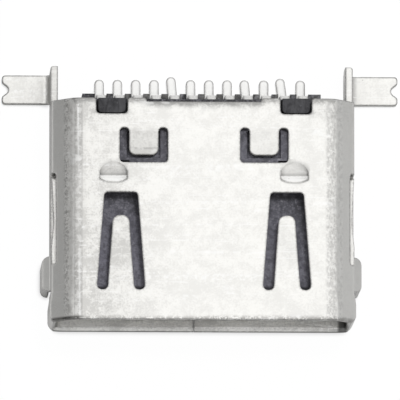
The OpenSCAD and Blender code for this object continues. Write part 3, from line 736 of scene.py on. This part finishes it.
# %% The contacts' two platings
TIN = ((0.94, 0.935, 0.92, 1), (1.0, 0.997, 0.985, 1))
GOLD = ((0.86, 0.60, 0.24, 1), (0.98, 0.74, 0.36, 1))
BEND_GREY = (0.63, 0.626, 0.615, 1)
STRIP_EDGE_AND_SHADE = (0.40, 0.395, 0.39, 1)
GOLD_END_Y = (0.9, 1.6)
BEND_Y = (2.4, 2.6)

strip = Finish("contact_plating_finish", edge_mm=0.12)
gilded = 1 - strip.ramp(strip.along, *GOLD_END_Y)
bend_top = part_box("contact_01")[1].z / MM
bent = strip.ramp(strip.height, bend_top - 0.5, bend_top - 0.3) * strip.ramp(strip.along, *BEND_Y)
cloudy = strip.noise(strip.place, scale=4.5, detail=4, rough=0.6, twist=0.3)
fine = strip.noise(strip.place, scale=30, detail=2, rough=0.5)
two_platings = strip.blend(gilded, strip.blend(cloudy, *TIN), strip.blend(cloudy, *GOLD))
strip_layers = [
    (bent, 0.75 + 0.25 * strip.ramp(fine, 0.4, 0.6), BEND_GREY),
    # dull cut edges with painted shade on their faces
    (strip.edges(0.001, 0.12), 0.58, STRIP_EDGE_AND_SHADE)]
contact_plating = strip.close({
    "Base Color": strip.paint(two_platings, strip_layers),
    "Metallic": 1.0,
    "Roughness": 0.34 + cloudy * 0.14 - gilded * 0.1,
    "Normal": strip.bump(fine * 0.5 + cloudy * 0.5, depth_mm=0.003)})

# %% [markdown]
# ## Dress the nodes
#
# Every CAD node has a material slot of its own. Each finish goes into the slot, so the meshes stay as they
# are, and the twelve contacts share one finish, as they share one strip in the factory.


# %% Put the finishes on
def dress(node, material):
    """Puts a finish on a CAD node."""
    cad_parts[node].material_slots[0].material = material


contact_names = sorted(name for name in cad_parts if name.startswith("contact_"))
for name in contact_names:
    dress(name, contact_plating)
dress("shell", plated_sheet)
dress("housing", black_moulding)
print("contacts dressed:", len(contact_names))

# %% [markdown]
# ## The table and the light
#
# A metal shows what is around it more than its own colour. Under an evenly white sky the folded shell
# would vanish into the white table. So the sky is white overhead and darkens toward the horizon, most
# of all on the left and in front.
#
# The shoulders of the shell look at the table beside the part. Photographers stand grey cards there, and
# so does this scene: a darker one on the left, a lighter one on the right. Only reflections see them.
#
# The table is plain white. Light Path lets the camera and the mirror-like rays see it as white paper,
# while a share of its real, lit colour keeps the soft shadow under the part. Ambient occlusion takes the
# white away where the part stands over the table, so a slot in the shell never glows from below.


# %% A flat sheet for the stage
def stage_sheet(name, corners):
    """A flat four-cornered piece of the stage, with corners in metres."""
    mesh = bpy.data.meshes.new(name)
    mesh.from_pydata(corners, [], [(0, 1, 2, 3)])
    sheet = bpy.data.objects.new(name, mesh)
    bpy.context.scene.collection.objects.link(sheet)
    material = bpy.data.materials.new(name + "_finish")
    material.use_nodes = True
    mesh.materials.append(material)
    print("stage:", name)
    return sheet, Graph(material.node_tree)


# %% The white table
TABLE_HALF = 0.3
WHITE = (1, 1, 1, 1)
PAPER = (0.93, 0.93, 0.93, 1)
CLOSE_BY = 0.12 * MM
FAR_OUT = 4 * MM
WHITE_SHARE = 0.98


def white_table():
    """White paper for the eye and for reflections, lit paper for everything else."""
    signs = ((-1, -1), (1, -1), (1, 1), (-1, 1))
    corners = [(x * TABLE_HALF, y * TABLE_HALF, 0) for x, y in signs]
    graph = stage_sheet("table", corners)[1]
    direct, mirrored, through = [
        graph.node("ShaderNodeLightPath", output=kind)
        for kind in ("Is Camera Ray", "Is Glossy Ray", "Is Transmission Ray")]
    near_part, below_part = [
        graph.node("ShaderNodeAmbientOcclusion", {"samples": RAYS}, {"Distance": reach}, output="AO")
        for reach in (CLOSE_BY, FAR_OUT)]
    paper = graph.node("ShaderNodeBsdfDiffuse", {}, {"Color": PAPER})
    white = graph.node("ShaderNodeEmission", {}, {"Color": WHITE, "Strength": 1.0})
    seen = (direct * near_part).most(mirrored * graph.ramp(below_part, 0.45, 0.95)).most(through)
    shown = graph.node("ShaderNodeMixShader", {}, {0: seen * WHITE_SHARE, 1: paper, 2: white})
    graph.node("ShaderNodeOutputMaterial", {}, {"Surface": shown})


white_table()

# %% The grey cards
CARD_HALF_LENGTH = 15 * MM


def grey_card(name, x_mm, height_mm, level):
    """An upright card beside the part that only reflections see."""
    x = x_mm * MM
    y = CARD_HALF_LENGTH
    top = height_mm * MM
    card, graph = stage_sheet(name, [(x, -y, 0), (x, y, 0), (x, y, top), (x, -y, top)])
    grey = graph.node("ShaderNodeEmission", {}, {"Color": WHITE, "Strength": level})
    graph.node("ShaderNodeOutputMaterial", {}, {"Surface": grey})
    card.visible_camera = False
    card.visible_diffuse = False
    card.visible_shadow = False


grey_card("left_card", x_mm=-9, height_mm=4.5, level=0.36)
grey_card("right_card", x_mm=9, height_mm=3.2, level=0.61)

# %% The sky
ZENITH = 1.06
HORIZON = 0.62


def studio_sky():
    """A sky that is white overhead, greyer near the horizon and plain white to the camera."""
    world = bpy.data.worlds.new("studio")
    world.use_nodes = True
    bpy.context.scene.world = world
    graph = Graph(world.node_tree)
    direction = graph.node("ShaderNodeTexCoord", output="Generated")
    sideways, backward, height = [graph.part(direction, axis) for axis in range(3)]
    overhead = graph.ramp(height, 0.4, 0.97)
    horizon = HORIZON + sideways * 0.25 + backward * 0.25 + backward.most(0) * 0.2
    level = horizon + (ZENITH - horizon) * overhead
    direct = graph.node("ShaderNodeLightPath", output="Is Camera Ray")
    level = level + (1 - level) * direct
    sky = graph.node("ShaderNodeBackground", {}, {"Color": WHITE, "Strength": level})
    graph.node("ShaderNodeOutputWorld", {}, {"Surface": sky})
    print("sky nodes:", len(graph.tree.nodes))


studio_sky()

# %% [markdown]
# The slots in the shell are narrow, so the plastic under them sees only a strip of the sky, and its shade
# would be flat. One small lamp, high up and a little to the right and the rear, draws the edge of each slot
# on the plastic below it. Metal would show that lamp as a hot spot, so mirror-like rays don't see it.

# %% The key lamp
TO_LAMP = Vector((0.105, 0.175, 0.979))
LAMP_DISTANCE = 0.2
LAMP_WIDTH = 0.03
LAMP_WATTS = 0.2


def key_lamp():
    """A small round lamp that looks at the part."""
    data = bpy.data.lights.new("key", "AREA")
    data.shape = "DISK"
    data.size = LAMP_WIDTH
    data.energy = LAMP_WATTS
    lamp = bpy.data.objects.new("key", data)
    lamp.location = TO_LAMP * LAMP_DISTANCE
    lamp.rotation_euler = (-lamp.location).to_track_quat("-Z", "Y").to_euler()
    lamp.visible_glossy = False
    bpy.context.scene.collection.objects.link(lamp)
    print("key lamp, mm away:", round(lamp.location.length / MM))


key_lamp()

# %% [markdown]
# ## The end of the scene
